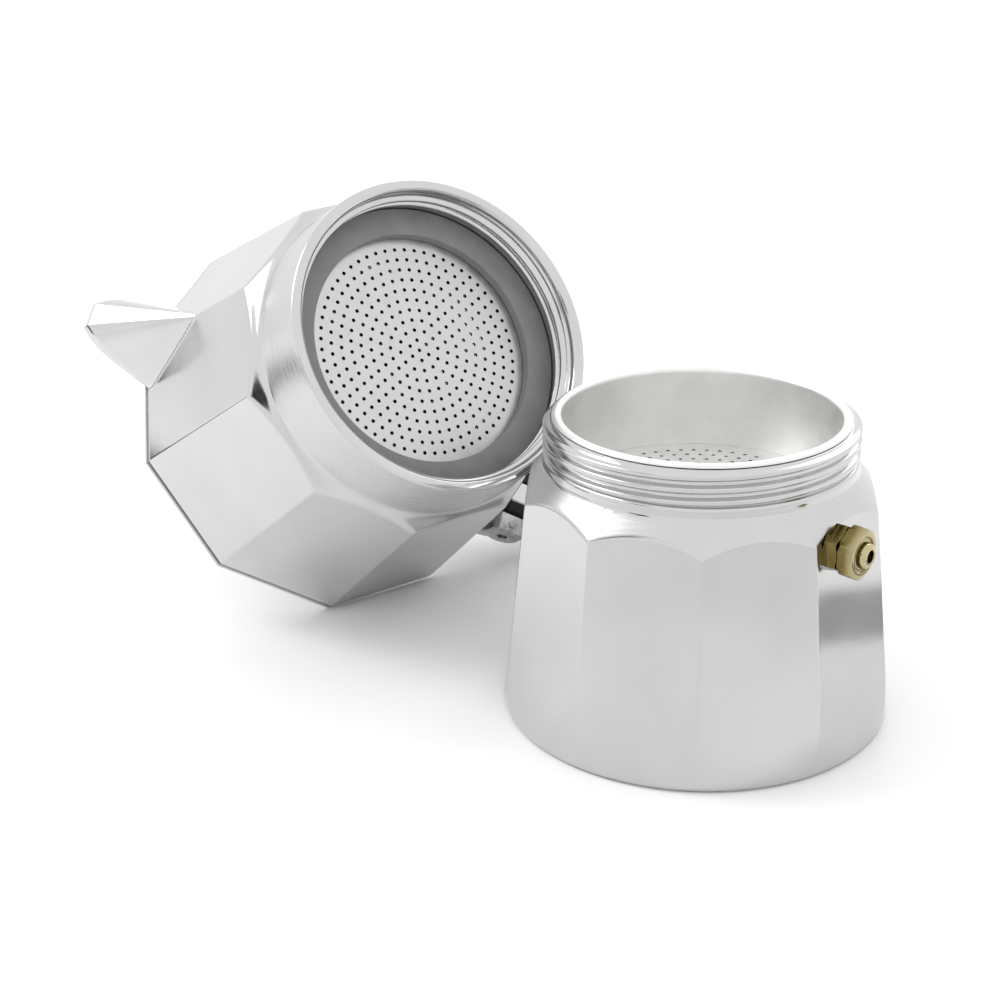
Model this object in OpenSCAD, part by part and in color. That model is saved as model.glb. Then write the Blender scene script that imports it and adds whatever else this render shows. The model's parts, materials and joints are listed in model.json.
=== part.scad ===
// Ten-sided stovetop moka pot, laid out in its two halves: the boiler stands
// on its base with the coffee funnel in its mouth, and the collector lies on
// its side, leaning on the boiler's neck with its threaded mouth up.
// Millimetres, +Z up, origin at the centre of the boiler's base.
// The collector group is modelled upright in its own frame, with Z = 0 at its
// mouth and +X towards the handle, and is then laid down by lay_down().

/* [Boiler] */
// Overall height of the boiler, up to its rim
boiler_h = 73.4; // [72:0.1:75]
// Corner radius of the ten-sided body, extended to the base
boiler_corner_r = 48.4; // [47.6:0.1:49]
// How much the corner radius shrinks for each millimetre of height
boiler_taper = 0.106; // [0.10:0.001:0.11]
// Radius of the round foot
foot_r = 46.6; // [46:0.1:47]
// Direction of one corner, in degrees
boiler_turn = 19.7; // [15:0.1:25]
// Thickness of the boiler's floor
boiler_floor = 3.2; // [2.5:0.1:4]
// Radius of the bore in the neck
neck_bore_r = 33.6; // [33.4:0.1:33.8]

/* [Thread] */
// Distance from one thread ridge to the next
thread_pitch = 2.9; // [2.7:0.1:3]
// Crest radius of the male thread
thread_crest_r = 37.0; // [36.8:0.1:37.1]
// Root radius of the male thread
thread_root_r = 35.5; // [35.3:0.1:35.7]
// Number of thread ridges
thread_turns = 3; // [2:1:3]

/* [Funnel] */
// Inner radius of the coffee basket
basket_r = 32.5; // [32:0.1:32.6]
// Depth of the basket, from its rim to its perforated floor
basket_depth = 20; // [18:0.5:21]
// Thickness of the pressed sheet
sheet_t = 0.6; // [0.5:0.1:0.7]
// Outer radius of the rolled rim
basket_rim_r = 34.9; // [34.6:0.1:35.2]
// Outer radius of the riser tube below the basket
funnel_tube_r = 4.5; // [4:0.1:5]
// Gap between the tube's end and the boiler's floor
funnel_tube_gap = 5; // [4:0.5:8]

/* [Collector] */
// Height from the mouth to the rim
collector_h = 75; // [74:0.5:76]
// Corner radius at the rim
rim_corner_r = 53.7; // [53.2:0.1:54]
// Corner radius, extended to the mouth
mouth_corner_r = 42.6; // [42.2:0.1:43]
// Outer radius of the turned collar at the mouth
collar_r = 40.4; // [40.2:0.1:40.5]
// Wall thickness of the upper chamber
collector_wall = 2.7; // [2.4:0.1:3]
// Height of the column's closed top
column_h = 66; // [60:1:68]

/* [Filter plate and gasket] */
// Distance from the mouth to the gasket
gasket_depth = 10.9; // [10.5:0.1:11.2]
// Thickness of the gasket
gasket_t = 3; // [2.8:0.1:3.1]
// Inner radius of the gasket
gasket_in_r = 29.9; // [29.5:0.1:30.2]
// Outer radius of the filter plate
plate_r = 33.2; // [32.8:0.1:33.3]
// Thickness of the filter plate
plate_t = 0.8; // [0.6:0.1:0.9]
// Rings of holes in the filter plate
plate_rings = 10; // [6:1:10]
// Distance from one ring of holes to the next
plate_pitch = 2.7; // [2.5:0.1:2.75]
// Radius of each hole
plate_hole_r = 0.5; // [0.35:0.05:0.55]

/* [Lid and handle] */
// Corner radius of the lid
lid_corner_r = 53.5; // [53:0.1:53.6]
// Gap between the rim and the lid
lid_gap = 1.2; // [0.9:0.1:1.2]
// Thickness of the lid
lid_t = 1.2; // [1.1:0.1:1.4]
// Height of the lid's crown above its edge
lid_rise = 10; // [8:0.5:12]
// Radius of the knob's head
knob_r = 9.5; // [8:0.5:11]
// Height of the knob
knob_h = 20; // [16:0.5:21]
// Width of the handle
handle_w = 15; // [14.6:0.1:15.2]

/* [Layout] */
// How far the collector is tipped over from upright
lay_tilt = 122.7; // [122.6:0.1:122.8]
// Compass direction in which its top points
lay_heading = 131.86; // [131.8:0.02:131.9]
// Turn about its own axis
lay_spin = -54.39; // [-54.45:0.02:-54.35]

/* [Hidden] */
$fn = 96;
eps = 0.01;
sides = 10;
flat_ratio = cos(180 / sides);

// Where the collector's mouth centre lies when it leans on the boiler
mouth_at = [-63.48, 24.1, 84.8];

// Boiler shoulder: a cone that leaves the neck and meets the ten facets
shoulder_top_z = 62;
shoulder_top_r = 37.3;
shoulder_slope = 0.82;
neck_r = 36.9;
neck_top_z = 65.2;
top_ridge_z = boiler_h - 1.4;
foot_top_z = 4.5;
foot_round = 1.6;
foot_outline = [
    [0, 0],
    [foot_r - foot_round, 0],
    [foot_r - foot_round / 3, foot_round / 3],
    [foot_r, foot_round],
    [foot_r, foot_top_z]];

// Thread ridge, as half widths at its root and at its crest
ridge_root = 0.95;
ridge_crest = 0.45;

// Safety valve, on the facet that looks to the front right
valve_turn = boiler_turn - 54;
valve_side = -6.4;
valve_z = 53.6;
valve_face_x = 40.5;
valve_hex_r = 5.9;
valve_shank_r = 4.4;
valve_in = 6;
seat_r = 1.4;
seat_z = -4.4;
chamber_r = 2.3;
ball_r = 2;
ball_z = seat_z + sqrt(ball_r * ball_r - seat_r * seat_r) + 0.05;
base_hex_h = 3.6;
cap_z = 4.5;
cap_hex_r = 6.5;
cap_hex_h = 3.2;
cap_wall = 1;
nipple_r = 2.9;
nipple_len = 1.7;
nozzle_r = 1.5;
spring_z1 = cap_z + cap_hex_h - cap_wall - 0.05;
spring_r = 1.6;
spring_wire_r = 0.3;
spring_turns = 5;
spring_touch = ball_r + spring_wire_r + 0.03;
spring_z0 = ball_z + sqrt(spring_touch * spring_touch - spring_r * spring_r) - spring_wire_r;
spring_steps = 14;
spring_sides = 8;

// Funnel
funnel_top_z = boiler_h + 0.95;
rim_under_z = boiler_h + 0.05;
basket_floor_z = funnel_top_z - basket_depth;
disc_t = 0.7;
ledge_z = basket_floor_z - disc_t;
hub_r = funnel_tube_r + 1.2;
hub_z = ledge_z - 9;
tube_wall = 0.6;
tube_end_z = boiler_floor + funnel_tube_gap;
disc_rings = 9;
disc_pitch = 3.1;
disc_hole_r = 0.5;

// Collector
collar_top_z = 17.8;
collar_top_r = 41.7;
floor_z = 23.5;
dome_z = 20.8;
pocket_r = 37.2;
female_crest_r = 36.2;
female_root_r = 37.5;
plate_z = gasket_depth + gasket_t + 0.05;
seat_pocket_r = 33.5;
seat_pocket_z = plate_z + plate_t + 0.05;
dome_r = 31.5;
column_foot_r = 8.5;
column_top_r = 6;
column_bore_r = 3.8;
outlet_r = 2.2;
outlet_z = column_h - 5;

// Spout: a beak on the corner away from the handle
spout_apex = [-47.6, 0, 45];
spout_tip_x = -71;
spout_tip_w = 3.2;
spout_mid_x = -65.5;
spout_mid_w = 7.5;
spout_root_x = -47;
spout_root_w = 12.8;
spout_keel_z = 72;
spout_top_z = 75.5;
spout_wall = 1.6;

// Hinge: one pin through the lug, the handle's fork and the lid's ears
pin_x = 61;
pin_z = 72.5;
pin_r = 1.3;
pin_fit = 0.02;
pin_run = 0.06;
pin_sunk = 0.8;
knuckle_r = 4.4;
ear_r = 5;
lug_half = 3.4;
lug_end_x = 73;
lug_top_z = 76;
ear_in = handle_w / 2 + 0.3;
ear_out = ear_in + 5.4;
pin_half = ear_out - pin_sunk;
pad_r = 1.25;
pad_h = 0.3;
through = 20;

// Handle
fork_x = 57.2;
fork_gap = 0.2;
handle_pin_x = 68.8;
handle_pin_z = 72;
handle_pin_r = 1.5;

// Lid and knob
lid_z = collector_h + lid_gap;
lid_brim = 3.5;
crown_r = 11;
crown_z = lid_z + lid_rise;
lid_hole_r = 2.1;
washer_t = 0.8;
washer_r = 7.2;
screw_r = 1.9;
screw_head_r = 4;
screw_head_t = 1.6;
knob_z = crown_z + washer_t + 0.02;
screw_into_knob = 9;

// Corner radius of the boiler at a height
function boiler_r(z) = boiler_corner_r - boiler_taper * z;

// Corner radius of the collector at a height
function collector_r(z) = mouth_corner_r + (rim_corner_r - mouth_corner_r) * z / collector_h;

// Outline of one thread ridge, from root to root, climbing
function ridge(z, root, crest) = [
    [root, z - ridge_root],
    [crest, z - ridge_crest],
    [crest, z + ridge_crest],
    [root, z + ridge_root]];

// Outlines of a stack of ridges, lowest first
function ridges(z0, root, crest) =
    [for (i = [0 : thread_turns - 1]) each ridge(z0 + i * thread_pitch, root, crest)];

// Lays an upright collector piece down in its place
module lay_down() {
    translate(mouth_at)
        rotate([0, 0, lay_heading])
            rotate([0, lay_tilt, 0])
                rotate([0, 0, lay_spin])
                    children();
}

// Places a piece on the safety valve's axis, Z = 0 on the boiler's seat
module on_valve() {
    rotate([0, 0, valve_turn])
        translate([valve_face_x, valve_side, valve_z])
            rotate([0, 90, 0])
                children();
}

// A round bar along Y through a hinge or handle joint
module cross_bar(x, z, r, half) {
    translate([x, half, z])
        rotate([90, 0, 0])
            cylinder(h = 2 * half, r = r);
}

// Flat disc with rings of small holes, six more in each ring
module perforated_disc(r, t, rings, pitch, hole_r) {
    linear_extrude(height = t)
        difference() {
            circle(r = r);
            circle(r = hole_r, $fn = 16);
            for (k = [1 : rings])
                for (i = [0 : 6 * k - 1])
                    rotate([0, 0, i * 60 / k])
                        translate([k * pitch, 0])
                            circle(r = hole_r, $fn = 16);
        }
}

// ---- Boiler ----

// Turned outline of the boiler: foot, free height for the facets, shoulder
module boiler_turned() {
    wide_r = boiler_corner_r + 0.2;
    rotate_extrude()
        polygon(concat(foot_outline, [
            [wide_r, foot_top_z + 2.5],
            [wide_r, shoulder_top_z - (wide_r - shoulder_top_r) / shoulder_slope],
            [shoulder_top_r, shoulder_top_z],
            [0, shoulder_top_z]]));
}

module boiler_body() {
    intersection() {
        boiler_turned();
        rotate([0, 0, boiler_turn])
            cylinder(h = boiler_h, r1 = boiler_corner_r, r2 = boiler_r(boiler_h), $fn = sides);
    }
    // round foot
    rotate_extrude()
        polygon(concat(foot_outline, [
            [foot_r - 2, foot_top_z + 2],
            [0, foot_top_z + 2]]));
}

// Smooth neck, thread and rim
module boiler_neck() {
    low_ridge_z = top_ridge_z - (thread_turns - 1) * thread_pitch;
    rotate_extrude()
        polygon(concat(
            [[0, shoulder_top_z - 8],
             [shoulder_top_r - 1.6, shoulder_top_z - 8],
             [shoulder_top_r - 0.2, shoulder_top_z],
             [neck_r, shoulder_top_z + 0.5],
             [neck_r, neck_top_z - 0.5],
             [thread_root_r, neck_top_z]],
            ridges(low_ridge_z, thread_root_r, thread_crest_r),
            [[thread_root_r - 0.2, boiler_h],
             [0, boiler_h]]));
}

module boiler_cavity() {
    rotate_extrude()
        polygon([
            [0, boiler_floor],
            [36, boiler_floor],
            [39.6, boiler_floor + 1.4],
            [41.8, boiler_floor + 5],
            [37.4, 49],
            [neck_bore_r, 59],
            [neck_bore_r, boiler_h + 1],
            [0, boiler_h + 1]]);
}

module boiler() {
    color("gainsboro")
        difference() {
            union() {
                boiler_body();
                boiler_neck();
            }
            boiler_cavity();
            on_valve() {
                cylinder(h = 12, r = valve_hex_r + 0.6);
                translate([0, 0, -valve_in - 4])
                    cylinder(h = valve_in + 5, r = valve_shank_r + 0.05);
            }
        }
}

// ---- Safety valve ----

module valve_body() {
    color("darkkhaki")
        on_valve()
            difference() {
                union() {
                    cylinder(h = base_hex_h, r = valve_hex_r, $fn = 6);
                    translate([0, 0, -valve_in])
                        cylinder(h = valve_in + cap_z + cap_hex_h - cap_wall - 0.3, r = valve_shank_r);
                }
                translate([0, 0, seat_z])
                    cylinder(h = 20, r = chamber_r);
                translate([0, 0, -valve_in - 1])
                    cylinder(h = valve_in, r = seat_r);
            }
}

module valve_cap() {
    face_z = cap_z + cap_hex_h;
    color("palegoldenrod")
        on_valve()
            difference() {
                union() {
                    intersection() {
                        translate([0, 0, cap_z])
                            cylinder(h = cap_hex_h, r = cap_hex_r, $fn = 6);
                        translate([0, 0, cap_z - 1])
                            rotate_extrude()
                                polygon([
                                    [0, 0],
                                    [cap_hex_r, 0],
                                    [cap_hex_r, cap_hex_h + 0.2],
                                    [cap_hex_r - 1.2, cap_hex_h + 1],
                                    [0, cap_hex_h + 1]]);
                    }
                    translate([0, 0, face_z - 0.5])
                        cylinder(h = nipple_len - 0.6, r = nipple_r);
                    translate([0, 0, face_z + nipple_len - 1.1 - eps])
                        cylinder(h = 1.1, r1 = nipple_r, r2 = nipple_r - 0.8);
                }
                // groove around the nipple
                translate([0, 0, face_z - 0.5])
                    difference() {
                        cylinder(h = 1, r = nipple_r + 1.3);
                        translate([0, 0, -1])
                            cylinder(h = 3, r = nipple_r);
                    }
                translate([0, 0, cap_z - 1])
                    cylinder(h = 1 + cap_hex_h - cap_wall, r = valve_shank_r + 0.05);
                translate([0, 0, cap_z])
                    cylinder(h = 12, r = nozzle_r);
            }
}

module valve_ball() {
    color("silver")
        on_valve()
            translate([0, 0, ball_z])
                sphere(r = ball_r);
}

// Points of the spring's wire: one ring of points for each step of the coil
function spring_ring(k) =
    let (turn = 360 * k / spring_steps,
         rise = spring_z1 - spring_z0 - 2 * spring_wire_r,
         z = spring_z0 + spring_wire_r + rise * k / (spring_turns * spring_steps))
    [for (j = [0 : spring_sides - 1])
        let (a = 360 * j / spring_sides,
             r = spring_r + spring_wire_r * cos(a))
        [r * cos(turn), r * sin(turn), z + spring_wire_r * sin(a)]];

module valve_spring() {
    rings = spring_turns * spring_steps;
    last = rings * spring_sides;
    points = [for (k = [0 : rings]) each spring_ring(k)];
    skin = [for (k = [0 : rings - 1])
        for (j = [0 : spring_sides - 1])
            let (n = (j + 1) % spring_sides, a = k * spring_sides, b = a + spring_sides)
            [a + j, b + j, b + n, a + n]];
    start_cap = [[for (j = [0 : spring_sides - 1]) j]];
    end_cap = [[for (j = [0 : spring_sides - 1]) last + spring_sides - 1 - j]];
    color("silver")
        on_valve()
            polyhedron(points = points, faces = concat(skin, start_cap, end_cap), convexity = 8);
}

// ---- Funnel ----

module funnel_basket() {
    out_r = basket_r + sheet_t;
    color("lightgray")
        rotate_extrude()
            polygon([
                [funnel_tube_r + 0.02, hub_z],
                [hub_r, hub_z],
                [hub_r, hub_z + 2.5],
                [out_r, ledge_z - 1.5],
                [out_r, rim_under_z],
                [basket_rim_r - 0.3, rim_under_z],
                [basket_rim_r, rim_under_z + 0.3],
                [basket_rim_r - 0.2, funnel_top_z - 0.2],
                [basket_rim_r - 0.7, funnel_top_z],
                [basket_r + 0.3, funnel_top_z],
                [basket_r, funnel_top_z - 0.4],
                [basket_r, ledge_z],
                [basket_r - 2.6, ledge_z],
                [basket_r - 2.6, ledge_z - 1],
                [hub_r - 0.6, hub_z + 3.4],
                [funnel_tube_r + 0.02, hub_z + 3.4]]);
}

module funnel_disc() {
    color("silver")
        translate([0, 0, ledge_z + 0.02])
            perforated_disc(basket_r - 0.05, disc_t - 0.02, disc_rings, disc_pitch, disc_hole_r);
}

module funnel_tube() {
    color("lightgray")
        translate([0, 0, tube_end_z])
            difference() {
                cylinder(h = hub_z + 3.4 - tube_end_z, r = funnel_tube_r);
                translate([0, 0, -1])
                    cylinder(h = hub_z + 8, r = funnel_tube_r - tube_wall);
            }
}

// ---- Collector ----

// Turned outline that trims the ten-sided body to its collar and shoulder
module collector_turned() {
    wide_r = rim_corner_r + 1;
    rotate_extrude()
        polygon([
            [0, collar_top_z - 4],
            [collar_top_r, collar_top_z - 4],
            [collar_top_r, collar_top_z],
            [wide_r, collar_top_z + wide_r - collar_top_r],
            [wide_r, collector_h],
            [0, collector_h]]);
}

module collar() {
    rotate_extrude()
        polygon([
            [0, 0],
            [collar_r - 0.7, 0],
            [collar_r, 0.7],
            [collar_top_r, collar_top_z + 0.5],
            [0, collar_top_z + 0.5]]);
}

// Solid beak, shrunk by a wall thickness for its inside and raised through the top
module spout_solid(wall, top) {
    side = wall * 1.3;
    hull() {
        translate([0, 0, spout_keel_z + 1.6 * wall])
            linear_extrude(height = top - spout_keel_z - 1.6 * wall)
                polygon([
                    [spout_root_x, spout_root_w - side],
                    [spout_mid_x + wall, spout_mid_w - side],
                    [spout_tip_x + wall / 3, spout_tip_w - wall / 2],
                    [spout_tip_x + wall / 3, wall / 2 - spout_tip_w],
                    [spout_mid_x + wall, side - spout_mid_w],
                    [spout_root_x, side - spout_root_w]]);
        translate(spout_apex + [wall, 0, 2.4 * wall])
            cube([2, 0.6, 0.6], center = true);
    }
}

// A plate across the local Y axis, its outline given as [x, z] points
module cross_plate(y0, y1, outline) {
    translate([0, y1, 0])
        rotate([90, 0, 0])
            linear_extrude(height = y1 - y0)
                polygon(outline);
}

// Lug that carries the hinge pin and the handle
module lug() {
    root_x = rim_corner_r - 4;
    cross_bar(pin_x, pin_z, knuckle_r, lug_half);
    cross_plate(-lug_half, lug_half, [
        [root_x, 61],
        [pin_x - 4, 66.5],
        [pin_x, pin_z - knuckle_r],
        [lug_end_x - 2, pin_z - knuckle_r],
        [lug_end_x, pin_z - knuckle_r + 2],
        [lug_end_x, lug_top_z - 2],
        [lug_end_x - 2, lug_top_z],
        [pin_x - 4, collector_h],
        [root_x, collector_h]]);
}

// Mouth: thread, gasket pocket, plate seat, dome and the start of the column's bore
module mouth_cavity() {
    rotate_extrude()
        polygon(concat(
            [[0, -1],
             [female_root_r + 1.6, -1],
             [female_root_r + 0.9, 0],
             [female_root_r, 0.9]],
            ridges(2.4, female_root_r, female_crest_r),
            [[female_root_r, gasket_depth - 1],
             [pocket_r, gasket_depth - 0.6],
             [pocket_r, gasket_depth + gasket_t],
             [seat_pocket_r, gasket_depth + gasket_t],
             [seat_pocket_r, seat_pocket_z],
             [dome_r, seat_pocket_z],
             [column_bore_r, dome_z],
             [column_bore_r, column_h - 2.4],
             [0, column_h - 2.4]]));
}

module chamber() {
    translate([0, 0, floor_z])
        cylinder(
            h = collector_h - floor_z + eps,
            r1 = collector_r(floor_z) - collector_wall / flat_ratio,
            r2 = collector_r(collector_h) - collector_wall / flat_ratio,
            $fn = sides);
}

module column() {
    rotate_extrude()
        polygon([
            [0, floor_z - 1],
            [column_foot_r + 4, floor_z - 1],
            [column_foot_r + 2, floor_z + 1.2],
            [column_foot_r, floor_z + 4],
            [column_top_r, column_h - 2],
            [column_top_r - 1.6, column_h],
            [0, column_h]]);
}

module collector() {
    color("gainsboro")
        lay_down()
            difference() {
                union() {
                    difference() {
                        union() {
                            intersection() {
                                cylinder(h = collector_h, r1 = mouth_corner_r, r2 = rim_corner_r, $fn = sides);
                                collector_turned();
                            }
                            collar();
                            spout_solid(0, spout_top_z);
                        }
                        chamber();
                        spout_solid(spout_wall, spout_top_z + 2);
                        translate([0, 0, spout_top_z - 1])
                            cylinder(h = 4, r = spout_mid_w - spout_root_x - 4);
                    }
                    column();
                    lug();
                }
                mouth_cavity();
                cross_bar(0, outlet_z, outlet_r, 12);
                cross_bar(pin_x, pin_z, pin_r + pin_fit, through);
                cross_bar(handle_pin_x, handle_pin_z, handle_pin_r + pin_fit, through);
            }
}

module gasket() {
    color("darkgray")
        lay_down()
            translate([0, 0, gasket_depth])
                difference() {
                    cylinder(h = gasket_t, r = pocket_r - 0.1);
                    translate([0, 0, -1])
                        cylinder(h = gasket_t + 2, r = gasket_in_r);
                }
}

module filter_plate() {
    color("whitesmoke")
        lay_down()
            translate([0, 0, plate_z])
                perforated_disc(plate_r, plate_t, plate_rings, plate_pitch, plate_hole_r);
}

// ---- Handle ----

module handle() {
    half = handle_w / 2;
    slot = lug_half + fork_gap;
    color("black")
        lay_down()
            difference() {
                cross_plate(-half, half, [
                    [fork_x, pin_z - 2.5],
                    [fork_x, pin_z + 2.5],
                    [fork_x + 2.5, pin_z + knuckle_r],
                    [lug_end_x, 77.4],
                    [79, 74],
                    [84.5, 68.8],
                    [91, 62],
                    [94.4, 54],
                    [95.5, 42],
                    [93, 27],
                    [91, 22.8],
                    [87.5, 21.5],
                    [84, 22.8],
                    [83, 27],
                    [84, 42],
                    [83, 52],
                    [77, 60.5],
                    [70, 66],
                    [fork_x + 3, 68]]);
                cross_plate(-slot, slot, [
                    [fork_x - 1, 60],
                    [lug_end_x + fork_gap, 60],
                    [lug_end_x + fork_gap, 80],
                    [fork_x - 1, 80]]);
                cross_bar(pin_x, pin_z, pin_r + pin_fit, through);
                cross_bar(handle_pin_x, handle_pin_z, handle_pin_r + pin_fit, through);
            }
}

module handle_pin() {
    color("silver")
        lay_down()
            cross_bar(handle_pin_x, handle_pin_z, handle_pin_r, handle_w / 2 - 0.3);
}

module hinge_pin() {
    color("silver")
        lay_down()
            cross_bar(pin_x, pin_z, pin_r, pin_half);
}

// ---- Lid ----

// Knuckle and arm of the hinge, on the side of the larger y when s is 1
module lid_ear(s) {
    mid = s * (ear_in + ear_out) / 2;
    half = (ear_out - ear_in) / 2;
    under = pin_z - ear_r;
    cut = 1.2;
    translate([0, mid, 0])
        cross_bar(pin_x, pin_z, ear_r, half);
    cross_plate(mid - half, mid + half, [
        [lid_corner_r - 9, lid_z],
        [lid_corner_r, lid_z],
        [pin_x - ear_r, pin_z],
        [pin_x - ear_r, under + cut],
        [pin_x - ear_r + cut, under],
        [pin_x + ear_r - cut, under],
        [pin_x + ear_r, under + cut],
        [pin_x + ear_r, pin_z],
        [pin_x, pin_z + ear_r - 0.1],
        [pin_x - 6, lid_z + 2.4],
        [lid_corner_r - 9, lid_z + 2.8]]);
    // small round pad on the side that faces the mouth
    translate([pin_x, mid, under - pad_h])
        cylinder(h = pad_h + 0.2, r = pad_r);
}

module lid() {
    crown_low_r = lid_corner_r - lid_brim;
    color("gainsboro")
        lay_down()
            difference() {
                union() {
                    translate([0, 0, lid_z])
                        cylinder(h = lid_t, r = lid_corner_r, $fn = sides);
                    translate([0, 0, lid_z + lid_t - eps])
                        cylinder(h = lid_rise - lid_t + eps, r1 = crown_low_r, r2 = crown_r, $fn = sides);
                    for (s = [-1, 1])
                        lid_ear(s);
                }
                translate([0, 0, lid_z - eps])
                    cylinder(h = lid_rise - lid_t, r1 = crown_low_r - 1.5, r2 = crown_r, $fn = sides);
                translate([0, 0, crown_z - 5])
                    cylinder(h = 6, r = lid_hole_r);
                cross_bar(pin_x, pin_z, pin_r + pin_run, through);
            }
}

module knob_washer() {
    color("silver")
        lay_down()
            translate([0, 0, crown_z + 0.01])
                difference() {
                    cylinder(h = washer_t, r = washer_r);
                    translate([0, 0, -1])
                        cylinder(h = washer_t + 2, r = lid_hole_r);
                }
}

module knob() {
    color("black")
        lay_down()
            translate([0, 0, knob_z])
                difference() {
                    rotate_extrude()
                        polygon([
                            [0, 0],
                            [washer_r - 0.6, 0],
                            [washer_r - 0.8, 3],
                            [knob_r - 0.4, knob_h - 7],
                            [knob_r, knob_h - 4.5],
                            [knob_r - 0.8, knob_h - 2],
                            [knob_r - 3, knob_h - 0.4],
                            [knob_r - 6, knob_h],
                            [0, knob_h]]);
                    translate([0, 0, -1])
                        cylinder(h = screw_into_knob + 1.1, r = screw_r + 0.02);
                }
}

module knob_screw() {
    under_z = crown_z - lid_t;
    color("silver")
        lay_down() {
            translate([0, 0, under_z - screw_head_t - 0.02])
                cylinder(h = screw_head_t, r = screw_head_r);
            translate([0, 0, under_z - screw_head_t / 2])
                cylinder(h = knob_z + screw_into_knob - under_z + screw_head_t / 2, r = screw_r);
        }
}

boiler();
valve_body();
valve_cap();
valve_ball();
valve_spring();
funnel_basket();
funnel_disc();
funnel_tube();
collector();
gasket();
filter_plate();
hinge_pin();
handle();
handle_pin();
lid();
knob();
knob_washer();
knob_screw();
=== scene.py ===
"""Looks of a ten-sided moka pot in two halves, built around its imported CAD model.

Lengths are millimetres inside the functions, because that is how the pot is measured, and
every mesh is scaled to metres as it is made. The collector half is built upright in its own
frame, its mouth at height 0 and its handle towards +X, and is laid down by collector_place.
"""
import json
import math

import bmesh
import bpy
import numpy as np
from mathutils import Euler, Matrix, Vector


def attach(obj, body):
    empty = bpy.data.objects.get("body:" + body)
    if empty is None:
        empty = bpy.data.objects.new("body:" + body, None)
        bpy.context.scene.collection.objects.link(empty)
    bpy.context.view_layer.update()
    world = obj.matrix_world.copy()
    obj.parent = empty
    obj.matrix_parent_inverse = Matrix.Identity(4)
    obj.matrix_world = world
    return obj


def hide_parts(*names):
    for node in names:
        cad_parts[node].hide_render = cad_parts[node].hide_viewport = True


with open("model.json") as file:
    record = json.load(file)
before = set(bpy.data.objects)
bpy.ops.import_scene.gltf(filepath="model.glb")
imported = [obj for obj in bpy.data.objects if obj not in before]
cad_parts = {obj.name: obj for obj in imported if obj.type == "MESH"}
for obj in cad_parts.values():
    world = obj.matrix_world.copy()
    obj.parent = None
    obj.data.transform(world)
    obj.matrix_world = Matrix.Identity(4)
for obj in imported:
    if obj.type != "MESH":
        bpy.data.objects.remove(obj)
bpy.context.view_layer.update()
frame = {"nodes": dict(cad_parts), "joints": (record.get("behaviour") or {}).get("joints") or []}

MM = 0.001
SIDES = 10
FLAT_RATIO = math.cos(math.pi / SIDES)


# ---- Places ----

MOUTH_AT = (-63.48, 24.1, 84.8)
LAY_HEADING = math.radians(131.86)
LAY_TILT = math.radians(122.7)
LAY_SPIN = math.radians(-54.39)
# where the valve sits: distance from the boiler's axis, offset to the side, height
SEAT_OUT, SEAT_SIDE, SEAT_UP = 40.5, -6.4, 53.6


def moved(x, y, z):
    """A shift in millimetres."""
    return Matrix.Translation(Vector((x, y, z)) * MM)


def collector_place():
    """Where the collector half lies: mouth up, leaning on the boiler's neck."""
    lay = Euler((0, 0, LAY_HEADING)).to_matrix() @ Euler((0, LAY_TILT, 0)).to_matrix()
    lay = lay @ Euler((0, 0, LAY_SPIN)).to_matrix()
    return moved(*MOUTH_AT) @ lay.to_4x4()


def valve_place():
    """The safety valve's axis: height 0 on its seat against the boiler, up is outwards."""
    joint = next(j for j in frame["joints"] if j["name"] == "valve_lift")
    out = Vector(joint["axis"]).normalized()
    side = Vector((0, 0, 1)).cross(out)
    turn = Matrix((Vector((0, 0, -1)), side, out)).transposed()
    seat = out * SEAT_OUT + side * SEAT_SIDE + Vector((0, 0, SEAT_UP))
    return moved(*seat) @ turn.to_4x4()


UPRIGHT = Matrix.Identity(4)
COLLECTOR = collector_place()
VALVE = valve_place()


# ---- Shapes ----

def smooth_min(a, b, k):
    """The lower of two surfaces, with the edge between them rounded over about k."""
    h = np.clip(0.5 + 0.5 * (b - a) / k, 0, 1)
    return b + (a - b) * h - k * h * (1 - h)


def smooth_max(a, b, k):
    return -smooth_min(-a, -b, k)


def smooth_step(lo, hi, x):
    """0 below lo, 1 above hi and smooth between them."""
    t = np.clip((x - lo) / (hi - lo), 0, 1)
    return t * t * (3 - 2 * t)


def polygon_edge(angles, sides, soft):
    """Distance to a regular polygon's edge. A sharp corner lies at angle 0 and distance 1."""
    step = 2 * math.pi / sides
    flat = math.cos(math.pi / sides)
    off = angles % step - step / 2
    return smooth_min(flat / np.cos(off), flat / np.cos(step - np.abs(off)), soft)


def facet_shape(angles, turn, soft):
    """Edge of the pot's own polygon, with a corner at the angle turn."""
    return polygon_edge(angles - turn, SIDES, soft)


def corner_angles(turn, extra=()):
    """Angles round the axis, close together near each corner so that the edges stay crisp."""
    half = 180 / SIDES
    steps = np.array([0, 4, 8, 11.5, 14, 15.6, 16.6, 17.1, 17.45, 17.7, 17.87, half])
    facet = np.concatenate([-steps[::-1], steps[1:-1]])
    around = [turn + math.radians(half + 2 * half * k + s) for k in range(SIDES) for s in facet]
    angles = np.sort(np.array(around + list(extra)) % (2 * math.pi))
    keep = np.concatenate([[True], np.diff(angles) > math.radians(0.03)])
    return angles[keep]


def round_angles(count):
    return np.arange(count) * 2 * math.pi / count


def turned_rows(angles, profile):
    """Rows for a turned surface. profile is a list of (radius, height)."""
    return [(np.full(len(angles), float(r)), np.full(len(angles), float(z))) for r, z in profile]


def arc(cx, cz, r, start, end, steps):
    """Points of a rounded corner in a profile, angles in degrees."""
    return [(cx + r * math.cos(math.radians(a)), cz + r * math.sin(math.radians(a)))
            for a in np.linspace(start, end, steps)]


def straight(start, end, steps):
    """Points of a straight run in a profile, without its first one."""
    return [tuple(point) for point in np.linspace(start, end, steps)[1:]]


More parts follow.
